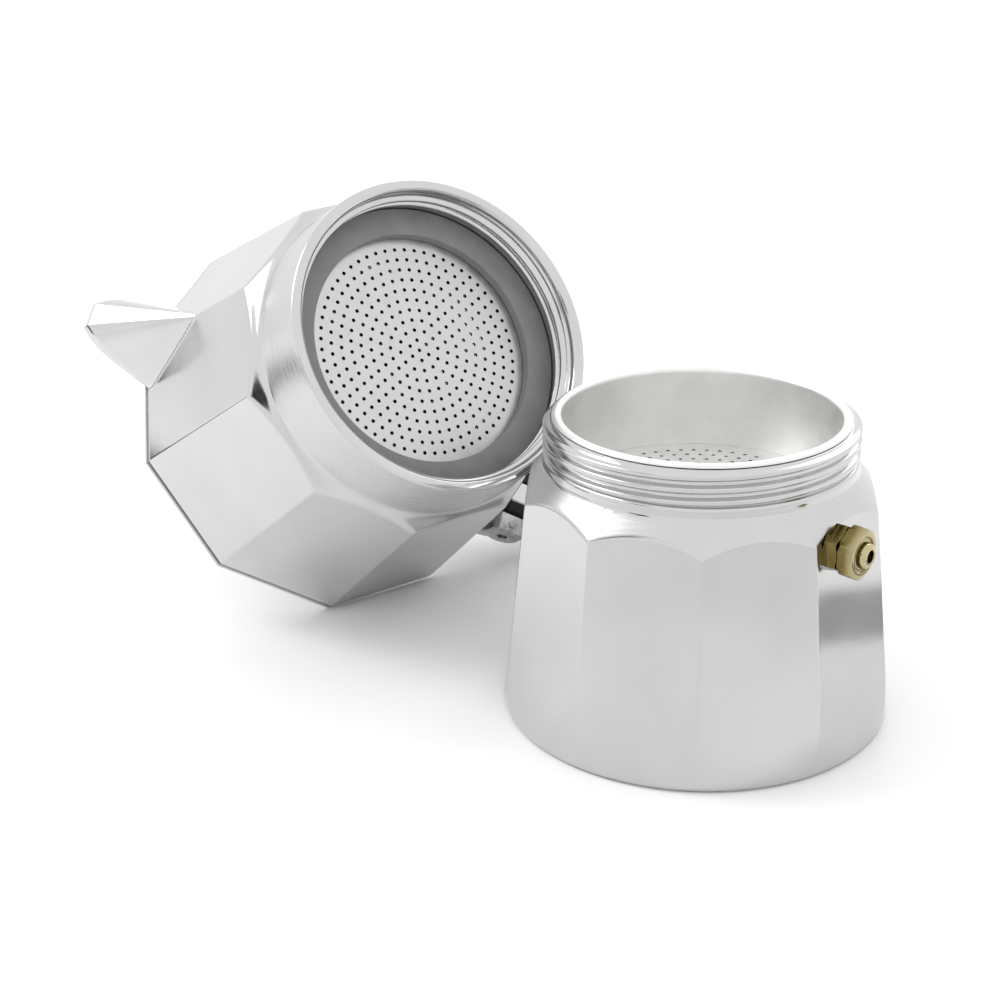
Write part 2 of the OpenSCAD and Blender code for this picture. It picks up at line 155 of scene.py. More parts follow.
def mesh_object(name, verts, faces, place, around=None, sharp=None):
    """A smooth-shaded object from points in millimetres. around is kept for the materials."""
    mesh = bpy.data.meshes.new(name)
    matrix = np.array(place)
    points = np.asarray(verts, float) * MM @ matrix[:3, :3].T + matrix[:3, 3]
    mesh.from_pydata(points.tolist(), [], faces)
    if around is not None:
        layer = mesh.attributes.new("around", "FLOAT_VECTOR", "POINT")
        layer.data.foreach_set("vector", np.asarray(around, np.float32).ravel())
    mesh.update()
    tool = bmesh.new()
    tool.from_mesh(mesh)
    bmesh.ops.recalc_face_normals(tool, faces=tool.faces)
    tool.to_mesh(mesh)
    tool.free()
    mesh.shade_smooth()
    if sharp:
        mesh.set_sharp_from_angle(angle=math.radians(sharp))
    piece = bpy.data.objects.new(name, mesh)
    bpy.context.scene.collection.objects.link(piece)
    return piece


def lathe(name, angles, rows, place, ring=False, sharp=None):
    """A closed surface round an axis. rows holds (radii, heights), one value for each angle, and
    may add angles of its own. A ring closes on its first row, anything else ends in points."""
    count, total = len(angles), len(rows)
    radii = np.array([row[0] for row in rows])
    heights = np.array([row[1] for row in rows])
    turns = np.array([row[2] if len(row) > 2 else angles for row in rows])
    cos, sin = np.cos(turns), np.sin(turns)
    verts = np.stack([radii * cos, radii * sin, heights], -1).reshape(-1, 3)
    middle_r, middle_z = radii.mean(1), heights.mean(1)
    run = np.concatenate([[0], np.cumsum(np.hypot(np.diff(middle_r), np.diff(middle_z)))])
    around = np.stack([cos, sin, np.tile(run[:, None], (1, count))], -1).reshape(-1, 3)
    nxt = np.roll(np.arange(count), -1)
    faces = []
    for k in range(total if ring else total - 1):
        a, b = k * count, (k + 1) % total * count
        faces += [(a + j, a + n, b + n, b + j) for j, n in enumerate(nxt)]
    if not ring:
        ends = [[0, 0, heights[0].mean()], [0, 0, heights[-1].mean()]]
        verts = np.vstack([verts, ends])
        around = np.vstack([around, [[0, 0, run[0]], [0, 0, run[-1]]]])
        first, last, base = total * count, total * count + 1, (total - 1) * count
        faces += [(first, n, j) for j, n in enumerate(nxt)]
        faces += [(last, base + j, base + n) for j, n in enumerate(nxt)]
    return mesh_object(name, verts, faces, place, around, sharp)


def mark_turned(piece, is_turned):
    """Tells the material where a lathe has cut. is_turned takes radii and heights in millimetres."""
    mesh = piece.data
    verts = np.empty(len(mesh.vertices) * 3)
    mesh.vertices.foreach_get("co", verts)
    back = np.array(COLLECTOR.inverted() if piece.name.startswith("collector") else UPRIGHT)
    local = verts.reshape(-1, 3) @ back[:3, :3].T + back[:3, 3]
    radii, heights = np.hypot(local[:, 0], local[:, 1]) / MM, local[:, 2] / MM
    layer = mesh.attributes.new("turned", "FLOAT", "POINT")
    layer.data.foreach_set("value", is_turned(radii, heights).astype(np.float32))


def turned(name, profile, place, count, ring=False, sharp=30):
    """A turned surface. profile is a list of (radius, height), count its number of sides."""
    angles = round_angles(count)
    return lathe(name, angles, turned_rows(angles, profile), place, ring, sharp)


def along_y(x, z):
    """A place for a pin that lies across the collector, its axis along the local Y."""
    return COLLECTOR @ moved(x, 0, z) @ Euler((math.pi / 2, 0, 0)).to_matrix().to_4x4()


def plate(name, outline, y0, y1, bevel):
    """A plate across the collector's local Y axis, with an outline of (x, z) points and rounded edges."""
    count = len(outline)
    verts = [(x, y, z) for y in (y0, y1) for x, z in outline]
    faces = [tuple(range(count)), tuple(range(2 * count - 1, count - 1, -1))]
    faces += [(j, (j + 1) % count, count + (j + 1) % count, count + j) for j in range(count)]
    piece = mesh_object(name, verts, faces, COLLECTOR)
    edge = piece.modifiers.new("edges", "BEVEL")
    edge.width = bevel * MM
    edge.segments = 4
    edge.limit_method = "ANGLE"
    edge.angle_limit = math.radians(30)
    edge.harden_normals = True
    return piece


def cut_away(piece, tool):
    """Cuts the tool out of the piece for good, and deletes the tool."""
    change = piece.modifiers.new("cut", "BOOLEAN")
    change.operation = "DIFFERENCE"
    change.solver = "EXACT"
    change.object = tool
    bpy.context.view_layer.update()
    graph = bpy.context.evaluated_depsgraph_get()
    mesh = bpy.data.meshes.new_from_object(piece.evaluated_get(graph))
    piece.modifiers.clear()
    piece.data = mesh
    bpy.data.objects.remove(tool)


PITCH = 2.9
# rows gather within this distance of the crease between the facets and a shoulder
CREASE_BAND = 1.8


def thread_height(angles, phase):
    """Ridge of a thread, 0 at its root and 1 at its crest. phase is the distance along the axis."""
    climb = PITCH * angles / (2 * math.pi)
    off = np.abs(((phase - climb) / PITCH) % 1 - 0.5) * PITCH
    return 1 - smooth_step(0.3, 1.2, off)


# ---- Materials ----

def nodes_of(material):
    material.use_nodes = True
    tree = material.node_tree
    return tree, tree.nodes["Principled BSDF"]


def add(tree, kind, **values):
    node = tree.nodes.new(kind)
    for key, value in values.items():
        setattr(node, key, value)
    return node


def scaled(tree, source, scale):
    mapping = add(tree, "ShaderNodeMapping")
    mapping.inputs["Scale"].default_value = scale
    tree.links.new(source, mapping.inputs["Vector"])
    return mapping.outputs["Vector"]


def noise(tree, source, scale, detail, roughness=0.55):
    node = add(tree, "ShaderNodeTexNoise")
    node.inputs["Scale"].default_value = scale
    node.inputs["Detail"].default_value = detail
    node.inputs["Roughness"].default_value = roughness
    tree.links.new(source, node.inputs["Vector"])
    return node.outputs["Fac"]


def spread(tree, source, lo, hi, from_lo=0.3, from_hi=0.7):
    """Maps values between from_lo and from_hi to values between lo and hi."""
    node = add(tree, "ShaderNodeMapRange")
    for key, value in (("From Min", from_lo), ("From Max", from_hi), ("To Min", lo), ("To Max", hi)):
        node.inputs[key].default_value = value
    tree.links.new(source, node.inputs["Value"])
    return node.outputs["Result"]


def tint(tree, source, stops):
    """Turns values into colours. stops is a list of (value, colour)."""
    ramp = add(tree, "ShaderNodeValToRGB").color_ramp
    node = tree.nodes[-1]
    while len(ramp.elements) < len(stops):
        ramp.elements.new(0.5)
    for element, (place, colour) in zip(ramp.elements, stops):
        element.position = place
        element.color = (*colour, 1)
    tree.links.new(source, node.inputs["Fac"])
    return node.outputs["Color"]


def bump(tree, source, depth_mm, strength, under=None):
    """The normal of a height texture, laid over the normal under it if there is one."""
    node = add(tree, "ShaderNodeBump")
    node.inputs["Strength"].default_value = strength
    node.inputs["Distance"].default_value = depth_mm * MM
    tree.links.new(source, node.inputs["Height"])
    if under is not None:
        tree.links.new(under, node.inputs["Normal"])
    return node.outputs["Normal"]


ROUGH_LOW, ROUGH_HIGH = 0.09, 0.17
TURNED_ROUGHNESS = 0.16
LINE_DEPTH, GROOVE_DEPTH, PIT_DEPTH = 0.005, 0.05, 0.004


def cast_aluminium(name):
    """Polished casting: soft mottling, faint pits and fine lines that run round the axis."""
    material = bpy.data.materials.new(name)
    tree, shader = nodes_of(material)
    place = add(tree, "ShaderNodeTexCoord").outputs["Object"]
    around = add(tree, "ShaderNodeAttribute", attribute_name="around").outputs["Vector"]
    turned_part = add(tree, "ShaderNodeAttribute", attribute_name="turned").outputs["Fac"]
    broad = noise(tree, place, 45, 2)
    fine = noise(tree, place, 900, 4)
    lines = noise(tree, scaled(tree, around, (0.9, 0.9, 9.0)), 1.0, 3, 0.7)
    grooves = noise(tree, scaled(tree, around, (0.3, 0.3, 2.6)), 1.0, 4, 0.75)
    tree.links.new(tint(tree, broad, [(0.3, (0.565, 0.57, 0.565)), (0.7, (0.605, 0.61, 0.605))]),
                   shader.inputs["Base Color"])
    shader.inputs["Metallic"].default_value = 1.0
    mixed = add(tree, "ShaderNodeMath", operation="ADD")
    tree.links.new(spread(tree, lines, ROUGH_LOW, ROUGH_HIGH), mixed.inputs[0])
    tree.links.new(spread(tree, broad, -0.02, 0.04), mixed.inputs[1])
    rougher = add(tree, "ShaderNodeMath", operation="MULTIPLY_ADD")
    tree.links.new(turned_part, rougher.inputs[0])
    rougher.inputs[1].default_value = TURNED_ROUGHNESS
    tree.links.new(mixed.outputs[0], rougher.inputs[2])
    tree.links.new(rougher.outputs[0], shader.inputs["Roughness"])
    under = bump(tree, fine, PIT_DEPTH, 0.5)
    under = bump(tree, lines, LINE_DEPTH, 0.6, under)
    cut = add(tree, "ShaderNodeMath", operation="MULTIPLY")
    tree.links.new(grooves, cut.inputs[0])
    tree.links.new(turned_part, cut.inputs[1])
    tree.links.new(bump(tree, cut.outputs[0], GROOVE_DEPTH, 1.0, under), shader.inputs["Normal"])
    return material


def plain_metal(name, dark, light, rough, scale, depth_mm):
    """Metal with mottled colour and roughness and a fine random texture."""
    material = bpy.data.materials.new(name)
    tree, shader = nodes_of(material)
    place = add(tree, "ShaderNodeTexCoord").outputs["Object"]
    broad = noise(tree, place, scale, 4)
    fine = noise(tree, place, scale * 14, 3)
    tree.links.new(tint(tree, broad, [(0.32, dark), (0.68, light)]), shader.inputs["Base Color"])
    shader.inputs["Metallic"].default_value = 1.0
    tree.links.new(spread(tree, broad, rough[0], rough[1]), shader.inputs["Roughness"])
    tree.links.new(bump(tree, fine, depth_mm, 0.6), shader.inputs["Normal"])
    return material


def along_axis(tree, coordinates, axis):
    """The part of some texture coordinates that lies along an axis."""
    part = add(tree, "ShaderNodeVectorMath", operation="DOT_PRODUCT")
    tree.links.new(add(tree, "ShaderNodeTexCoord").outputs[coordinates], part.inputs[0])
    part.inputs[1].default_value = axis
    return part.outputs["Value"]


def lay_over(tree, shader, factor, colour):
    """Lays a colour over the shader's own wherever the factor is 1."""
    mix = add(tree, "ShaderNodeMix", data_type="RGBA")
    tree.links.new(factor, mix.inputs["Factor"])
    tree.links.new(shader.inputs["Base Color"].links[0].from_socket, mix.inputs["A"])
    mix.inputs["B"].default_value = (*colour, 1)
    tree.links.new(mix.outputs["Result"], shader.inputs["Base Color"])


def paint_hole_shade(material, axis):
    """Paints faces that run along an axis near black: painted shade on the walls of a plate's holes."""
    tree, shader = nodes_of(material)
    flat = add(tree, "ShaderNodeMath", operation="ABSOLUTE")
    tree.links.new(along_axis(tree, "Normal", axis), flat.inputs[0])
    lay_over(tree, shader, spread(tree, flat.outputs[0], 1.0, 0.0, 0.3, 0.8), (0.02, 0.017, 0.014))


def paint_lit_end(material, axis, start, end, colour):
    """Turns the material's own colour into a lighter one between two distances along an axis: painted
    light, lighter towards the far end.
    """
    tree, shader = nodes_of(material)
    lit_part = spread(tree, along_axis(tree, "Object", axis), 0.0, 1.0, start * MM, end * MM)
    lay_over(tree, shader, lit_part, colour)


def soft_stuff(name, dark, light, rough, scale, depth_mm, gloss=0.5):
    """Rubber or moulded plastic: fine grain, faint mottling."""
    material = bpy.data.materials.new(name)
    tree, shader = nodes_of(material)
    place = add(tree, "ShaderNodeTexCoord").outputs["Object"]
    broad = noise(tree, place, scale * 0.1, 4)
    grain = noise(tree, place, scale, 2)
    tree.links.new(tint(tree, broad, [(0.3, dark), (0.7, light)]), shader.inputs["Base Color"])
    tree.links.new(spread(tree, broad, rough[0], rough[1]), shader.inputs["Roughness"])
    shader.inputs["Specular IOR Level"].default_value = gloss
    tree.links.new(bump(tree, grain, depth_mm, 0.7), shader.inputs["Normal"])
    return material


ALUMINIUM = cast_aluminium("cast_aluminium")
CASTING = plain_metal("rough_casting", (0.30, 0.30, 0.295), (0.56, 0.56, 0.555), (0.22, 0.4),
                      420, 0.12)
PRESSED = plain_metal("pressed_aluminium", (0.78, 0.78, 0.77), (0.84, 0.84, 0.83), (0.36, 0.46),
                      160, 0.02)
FILTER = plain_metal("filter_aluminium", (0.57, 0.57, 0.565), (0.63, 0.63, 0.625), (0.3, 0.42),
                     300, 0.01)
BRASS = plain_metal("brass", (0.125, 0.097, 0.03), (0.20, 0.155, 0.055), (0.06, 0.15), 260, 0.004)
STEEL = plain_metal("steel", (0.52, 0.52, 0.51), (0.66, 0.66, 0.65), (0.22, 0.36), 500, 0.008)
RUBBER = soft_stuff("grey_rubber", (0.19, 0.19, 0.187), (0.235, 0.235, 0.23), (0.5, 0.65), 1800, 0.03)
PLASTIC = soft_stuff("black_plastic", (0.004, 0.004, 0.004), (0.009, 0.009, 0.009), (0.3, 0.42),
                     2600, 0.02, 0.25)
# painted shade: the filter plate's hole walls near black
paint_hole_shade(FILTER, COLLECTOR.to_3x3() @ Vector((0, 0, 1)))
# painted light: the valve's outer end lighter than its seat
paint_lit_end(BRASS, VALVE.to_3x3() @ Vector((0, 0, 1)), SEAT_OUT + 5.8, SEAT_OUT + 8.2,
           (0.50, 0.44, 0.26))


def finished(piece, material, body, slot, *cad_nodes):
    """Gives a piece its material and its body, and hides the CAD nodes that it stands for. slot is not
    used.
    """
    piece.data.materials.append(material)
    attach(piece, body)
    if cad_nodes:
        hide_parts(*cad_nodes)


# ---- Boiler ----

BOILER_TURN = math.radians(19.7)
BOILER_TOP = 73.4
BOILER_CORNER, BOILER_TAPER = 48.4, 0.106
FOOT_R, FOOT_ROUND = 46.6, 1.6
FADE_HEIGHT = 20
FACETS_FROM = 21
SHOULDER_R, SHOULDER_Z, SHOULDER_SLOPE = 37.3, 62, 0.82
BORE_R = 33.6
NECK_ROOT_R, NECK_RIDGE = 35.85, 1.15


def shoulder_r(z):
    """Radius of the shoulder's cone at a height."""
    return SHOULDER_R + SHOULDER_SLOPE * (SHOULDER_Z - z)


def boiler_outside(angles):
    """Rows up the outside of the boiler: foot, facets, scalloped shoulder and neck."""
    shape = facet_shape(angles, BOILER_TURN, 0.006)
    rows = turned_rows(angles, [(20, 0.5), (36, 0.5), (38.4, 0.4), (39.4, 0.05), (40, 0), (44.6, 0)])
    rows += turned_rows(angles, arc(FOOT_R - FOOT_ROUND, FOOT_ROUND, FOOT_ROUND, -90, 0, 7)[1:])

    def level(z):
        facets = shape * (BOILER_CORNER - BOILER_TAPER * z)
        fade = 1 - (1 - np.clip((z - FOOT_ROUND) / FADE_HEIGHT, 0, 1)) ** 2
        return smooth_min(FOOT_R + (facets - FOOT_R) * fade, shoulder_r(z), 0.45)

    for z in (2.5, 3.5, 4.5, 5.5, 6.5, 7.5, 9, 10.5, 12, 13.5, 15, 17, 19, FACETS_FROM):
        rows.append((level(np.full(len(angles), z)), np.full(len(angles), z)))
    # the crease between facets and shoulder, followed by rows of its own
    crease = (shoulder_r(0) - BOILER_CORNER * shape) / (SHOULDER_SLOPE - BOILER_TAPER * shape)
    for t in np.linspace(0, 1, 14)[1:]:
        z = FACETS_FROM * (1 - t) + (crease - CREASE_BAND) * t
        rows.append((level(z), z))
    for off in (-1.2, -0.8, -0.5, -0.25, 0, 0.25, 0.5, 0.8, 1.2, CREASE_BAND):
        rows.append((level(crease + off), crease + off))
    for t in np.linspace(0, 1, 5)[1:]:
        z = (crease + CREASE_BAND) * (1 - t) + (SHOULDER_Z - 0.5) * t
        rows.append((level(z), z))
    neck = [(37.35, 62.0), (37.1, 62.35), (36.97, 62.8), (36.95, 63.6), (36.95, 64.5), (36.8, 64.9),
            (36.2, 65.1)]
    return rows + turned_rows(angles, neck)


def boiler_thread(angles):
    """Helical ridges. The thread runs out at both ends."""
    rows = []
    for z in np.arange(65.2, 73.0, 0.11):
        fade = smooth_step(65.0, 65.9, z) * (1 - smooth_step(72.5, 73.1, z))
        ridge = thread_height(angles, z - 70.6 + 0.75 * PITCH)
        rows.append((NECK_ROOT_R + NECK_RIDGE * ridge * fade, np.full(len(angles), z)))
    return rows


def make_boiler():
    top = BOILER_TOP
    angles = corner_angles(BOILER_TURN)
    rows = boiler_outside(angles) + boiler_thread(angles)
    rows += turned_rows(angles, [(35.5, top - 0.35), (35.3, top - 0.1), (35.0, top), (34.2, top),
                                 (33.8, top - 0.1), (BORE_R, top - 0.4)])
    rows += turned_rows(angles, [(BORE_R, 70), (BORE_R, 64), (BORE_R, 59.5), (34.0, 58),
                                 (37.4, 49), (39.5, 30), (41.6, 9)])
    rows += turned_rows(angles, arc(37.8, 7.2, 3.9, 0, -90, 6) + [(30, 3.2), (10, 3.2)])
    shell = lathe("boiler_shell", angles, rows, UPRIGHT)
    mark_turned(shell, lambda r, z: (np.abs(r - shoulder_r(z)) < 0.05) & (z > 48))
    finished(shell, ALUMINIUM, "boiler", "cast_aluminium", "boiler")


# ---- Safety valve ----

BASE_CORNER, CAP_CORNER = 5.7, 6.5


def hex_turned(name, profile, corner):
    """A part of the valve, turned and cut to a hexagon. corner is a corner's distance from its axis."""
    near_corners = round_angles(6)[:, None] + np.radians([-1.2, -0.6, 0.6, 1.2])
    angles = np.sort(np.concatenate([round_angles(144), near_corners.ravel() % (2 * math.pi)]))
    cut = corner * polygon_edge(angles, 6, 0.012)
    rows = [(np.minimum(cut, r), np.full(len(angles), float(z))) for r, z in profile]
    return lathe(name, angles, rows, VALVE, sharp=35)


def make_valve():
    base = [(3.0, -5.9), (4.2, -6.0), (4.4, -5.8), (4.4, 0), (4.8, 0.0), (5.0, 0.05), (5.6, 0.4),
            (7, 0.9), (7, 3.0), (5.6, 3.4), (5.0, 3.58), (4.8, 3.6), (4.5, 3.6), (4.4, 3.8),
            (4.4, 6.2), (4.2, 6.35), (2.5, 6.4)]
    body = hex_turned("valve_body", base, BASE_CORNER)
    finished(body, BRASS, "boiler", "brass", "valve_body")
    cap = [(4.6, 3.9), (5.3, 3.92), (5.9, 4.2), (7, 4.7), (7, 6.6), (6.0, 7.15), (5.3, 7.55),
           (5.0, 7.68), (4.3, 7.7), (4.15, 7.6), (4.1, 7.25), (3.9, 7.2), (3.1, 7.2), (2.95, 7.3),
           (2.9, 7.6), (2.9, 8.2)]
    cap += arc(2.0, 8.35, 0.9, 0, 70, 6)[1:]
    cap += [(1.9, 9.35), (1.65, 9.35), (1.5, 9.2), (1.5, 8.5), (1.45, 6.7)]
    nut = hex_turned("valve_cap", cap, CAP_CORNER)
    finished(nut, BRASS, "boiler", "brass", "valve_cap")


# ---- Funnel ----

FUNNEL_TOP = BOILER_TOP + 0.95
BASKET_DEPTH = 20


def make_funnel():
    top, floor = FUNNEL_TOP, FUNNEL_TOP - BASKET_DEPTH
    rim = [(32.5, floor - 0.6), (32.5, floor + 6), (32.5, top - 1.4), (32.52, top - 0.75),
           (32.7, top - 0.3), (33.1, top - 0.05), (33.6, top), (34.2, top - 0.05),
           (34.65, top - 0.25), (34.88, top - 0.5), (34.85, top - 0.75), (34.6, top - 0.88),
           (34.0, top - 0.89), (33.5, top - 0.95), (33.2, top - 1.2), (33.1, top - 1.6)]
    under = [(33.1, floor), (33.1, floor - 1.6), (32.7, floor - 2.1), (20, floor - 6.2),
             (6.4, floor - 9.0), (5.8, floor - 9.4), (5.7, floor - 9.7), (4.6, floor - 9.7),
             (4.6, floor - 7.5), (6.2, floor - 7.2), (20, floor - 4.4), (29.9, floor - 1.7),
             (29.9, floor - 0.72), (31, floor - 0.7)]
    basket = turned("funnel_basket", rim + under, UPRIGHT, 240, ring=True, sharp=50)
    finished(basket, PRESSED, "funnel", "pressed_aluminium", "funnel_basket")
    end, high = 8.2, floor - 7.3
    tube_profile = [(4.4, end), (4.5, end + 0.1), (4.5, high - 0.1), (4.4, high), (4.0, high),
                    (3.9, high - 0.1), (3.9, end + 0.1), (4.0, end)]
    tube = turned("funnel_tube", tube_profile, UPRIGHT, 96, ring=True, sharp=50)
    finished(tube, PRESSED, "funnel", "pressed_aluminium", "funnel_tube")


# ---- Collector ----

RIM = 75.0
WALL = 2.7
MOUTH_CORNER, FLARE = 42.6, 0.148
COLLAR_R, COLLAR_TOP_R, COLLAR_TOP = 40.4, 41.7, 17.8
CHAMBER_FLOOR = 26.5
MOUTH_ROOT_R, MOUTH_RIDGE = 37.5, 1.25
LUG_HALF = 3.4
BEAK_APEX = np.array([47.6, 45.0])
BEAK_TOP = 72.0
TIP_X, TIP_W = 70.8, 3.2


def collector_facets(angles):
    return facet_shape(angles, 0.0, 0.005)


def facet_corner(d):
    """Distance of the facets' corners from the axis. d is the distance from the mouth."""
    return MOUTH_CORNER + FLARE * d


def collar_r(d):
    """Radius of the slightly conical collar."""
    return COLLAR_R + (COLLAR_TOP_R - COLLAR_R) * d / COLLAR_TOP


def beak_rise(height, inset=0.0):
    """How far up the beak a height lies: 0 at its apex, 1 at its keel's top."""
    low = BEAK_APEX[1] + 2.2 * inset
    return np.clip((height - low) / (BEAK_TOP + inset - low), 0, 1)


def beak(angles, height, inset):
    """Radius of the spout's beak at each angle, at each height. 0 where there is no beak."""
    x = np.array([TIP_X, TIP_X, 68.6, 65.8, 61.5, 56.5, 51.5, 47.0, 40.0])
    w = np.array([0.0, TIP_W, 5.2, 7.0, 8.6, 10.1, 11.6, 12.9, 14.8])
    t = beak_rise(height, inset)
    away = np.abs(angles % (2 * math.pi) - math.pi)
    result = np.zeros(len(angles))
    for j in np.nonzero(away < 0.5)[0]:
        if t[j] <= 0:
            continue
        px = BEAK_APEX[0] + (x - inset * 0.4 - BEAK_APEX[0]) * t[j] - inset * 0.6
        pw = np.maximum(w - inset * 1.25, 0) * t[j]
        bearing = np.arctan2(pw, px)
        bearing = np.maximum.accumulate(bearing) + np.arange(len(x)) * 1e-7
        result[j] = np.interp(away[j], bearing, np.hypot(px, pw), right=0)
    return result


def keel_warp(angles, height):
    """Angles gathered towards the beak's middle, so that the same ones follow its keel at every height."""
    off = angles % (2 * math.pi) - math.pi
    full = math.atan2(TIP_W, TIP_X)
    t = np.maximum(beak_rise(height), 0.06)
    edge = np.arctan2(TIP_W * t, BEAK_APEX[0] + (TIP_X - BEAK_APEX[0]) * t)
    size = np.abs(off)
    limit = math.radians(14)
    near = size * edge / full
    far = edge + (size - full) * (limit - edge) / (limit - full)
    gathered = np.where(size < full, near, np.where(size < limit, far, size))
    return math.pi + np.sign(off) * gathered


def collector_mouth(angles):
    """Rows from inside the column's bore, over the dome and the gasket's pocket, to the lip."""
    profile = [(1.5, 63.6), (3.6, 63.6), (3.8, 63.2), (3.8, 40), (3.8, 22), (4.2, 20.9),
               (12, 18.9), (22, 17.0), (31.0, 14.9), (31.5, 14.8), (33.4, 14.8), (33.5, 14.7),
               (33.5, 14.0), (33.6, 13.92), (37.1, 13.9), (37.2, 13.8), (37.2, 10.9),
               (37.25, 10.3), (37.5, 9.9)]
    rows = turned_rows(angles, profile)
    for d in np.arange(9.7, 0.95, -0.11):
        fade = smooth_step(1.8, 3.4, d) * (1 - smooth_step(8.8, 9.6, d))
        ridge = thread_height(angles, d - 1.0)
        rows.append((MOUTH_ROOT_R - MOUTH_RIDGE * ridge * fade, np.full(len(angles), d)))
    lip = [(37.55, 0.85), (37.8, 0.5), (38.1, 0.2), (38.4, 0.04), (38.7, 0), (39.7, 0)]
    return rows + turned_rows(angles, lip)


def collector_outside(angles, shape):
    """Rows from the lip over the collar and its scalloped shoulder to the rim."""
    rows = turned_rows(angles, arc(39.8, 0.6, 0.6, -80, 0, 6))

    def level(d):
        cone = COLLAR_TOP_R + (d - COLLAR_TOP)
        return smooth_min(shape * facet_corner(d), smooth_max(cone, collar_r(d), 1.2), 0.8)

    cone_from = COLLAR_TOP + 1
    for d in (1.2, 2.4, 5, 9, 13, 15.5, 16.6, 17.2, 17.6, 18.0, 18.4, cone_from):
        rows.append((level(np.full(len(angles), d)), np.full(len(angles), d)))
    crease = (MOUTH_CORNER * shape - COLLAR_TOP_R + COLLAR_TOP) / (1 - FLARE * shape)
    for t in np.linspace(0, 1, 5)[1:]:
        d = cone_from * (1 - t) + (crease - 0.45) * t
        rows.append((level(d), d))
    for off in (-0.25, 0, 0.25, 0.5, 0.8, 1.2, CREASE_BAND):
        rows.append((level(crease + off), crease + off))
    steps = np.concatenate([np.linspace(0, 0.42, 7)[1:], np.linspace(0.42, 0.995, 46)[1:]])
    for t in steps:
        d = (crease + CREASE_BAND) * (1 - t) + RIM * t
        turns = keel_warp(angles, d)
        facets = collector_facets(turns) * facet_corner(d)
        plain = level(d) if t < 0.1 else facets
        rows.append((np.maximum(plain, smooth_max(facets, beak(turns, d, 0), 0.3)), d, turns))
    return rows


def collector_rim(angles):
    """Rows over the rim, down the chamber's wall, across its floor and up the column."""
    rows = []
    rim = np.full(len(angles), RIM)
    turns = keel_warp(angles, rim)
    shape = collector_facets(turns)
    lift = 0.5 * smooth_step(54.5, 58.0, beak(turns, rim, 0))
    outer_wall = smooth_max(shape * facet_corner(RIM), beak(turns, rim, 0), 0.3)

    def inner(d):
        wall = shape * facet_corner(d) - WALL / FLAT_RATIO
        return smooth_max(wall, beak(turns, d, 1.6), 1.2)

    top = RIM + lift
    inner_top = inner(rim)
    rows.append((outer_wall - 0.05, top - 0.45, turns))
    rows.append((outer_wall - 0.45, top - 0.05, turns))
    rows.append((outer_wall - 0.6, top, turns))
    rows.append((inner_top + 0.35, top, turns))
    rows.append((inner_top + 0.1, top - 0.1, turns))
    for t in np.linspace(0, 1, 44):
        d = (top - 0.35) * (1 - t) + CHAMBER_FLOOR * t
        rows.append((inner(d), d, turns))
    base = inner(np.full(len(angles), CHAMBER_FLOOR))
    for a in np.radians(np.linspace(15, 90, 6)):
        height = np.full(len(angles), CHAMBER_FLOOR - 3 * math.sin(a))
        rows.append((base - 3 * (1 - math.cos(a)), height, turns))
    floor_r = base - 3
    for t in (0.3, 0.6, 0.85):
        rows.append((floor_r + (14.0 - floor_r) * t, np.full(len(angles), CHAMBER_FLOOR - 3)))
    column = [(12.4, 23.6), (11.0, 24.1), (9.8, 25.2), (9.1, 27), (8.6, 30), (7.4, 45), (6.1, 63.2)]
    column += arc(4.3, 64.2, 1.8, 0, 80, 6) + [(2, 66.05)]
    return rows + turned_rows(angles, column)


def make_collector():
    keel = math.degrees(math.atan2(TIP_W, TIP_X))
    steps = np.array([-0.5, -0.12, -0.04, 0.04, 0.12, 0.5])
    near_keel = np.concatenate([side * keel + steps for side in (-1, 1)])
    near_beak = math.pi + np.radians(np.concatenate([np.arange(-22, 22.01, 0.5), near_keel]))
    angles = corner_angles(0.0, near_beak)
    shape = collector_facets(angles)
    rows = collector_mouth(angles) + collector_outside(angles, shape) + collector_rim(angles)
    shell = lathe("collector_shell", angles, rows, COLLECTOR)
    mark_turned(shell, lambda r, d: 0.7 * ((np.abs(r - collar_r(d)) < 0.1) & (d < 17)))
    finished(shell, ALUMINIUM, "collector", "cast_aluminium", "collector")
    root = 49.7
    outline = [(root, 61), (57, 66.5), (60, 68.1), (71, 68.1), (73, 70.1), (73, 74), (71, 76),
               (64, 76.4), (61, 76.9), (58.4, 76), (57, 75), (root, 75)]
    lug = plate("collector_lug", outline, -LUG_HALF, LUG_HALF, 0.6)
    finished(lug, ALUMINIUM, "collector", "cast_aluminium", "collector")


def make_gasket():
    profile = [(29.9, 11.3), (30.0, 11.05), (30.3, 10.9), (33, 10.82), (36.4, 10.9), (36.9, 11.0),
               (37.1, 11.3), (37.1, 13.5), (36.9, 13.9), (30.2, 13.9), (29.95, 13.7)]
    gasket = turned("gasket", profile, COLLECTOR, 200, ring=True, sharp=40)
    finished(gasket, RUBBER, "collector", "grey_rubber", "gasket")


# ---- Hinge, handle, lid, knob ----

PIN_X, PIN_Z = 61, 72.5
PIN_SUNK = 0.8
CROSS_PIN_X, CROSS_PIN_Z = 68.8, 72
EAR_R = 5
EAR_IN, EAR_WIDTH = 7.8, 5.4
LID_LOW = RIM + 1.2
LID_CROWN = LID_LOW + 10


def make_pins():
    half = EAR_IN + EAR_WIDTH - PIN_SUNK
    profile = [(1.0, half), (1.3, half - 0.3), (1.3, 0.3 - half), (1.0, -half)]
    pin = turned("hinge_pin", profile, along_y(PIN_X, PIN_Z), 64)
    finished(pin, STEEL, "collector", "steel", "hinge_pin")
    flat = [(1.2, 7.2), (1.5, 6.9), (1.5, -6.9), (1.2, -7.2)]
    cross = turned("handle_pin", flat, along_y(CROSS_PIN_X, CROSS_PIN_Z), 48)
    finished(cross, STEEL, "collector", "steel", "handle_pin")


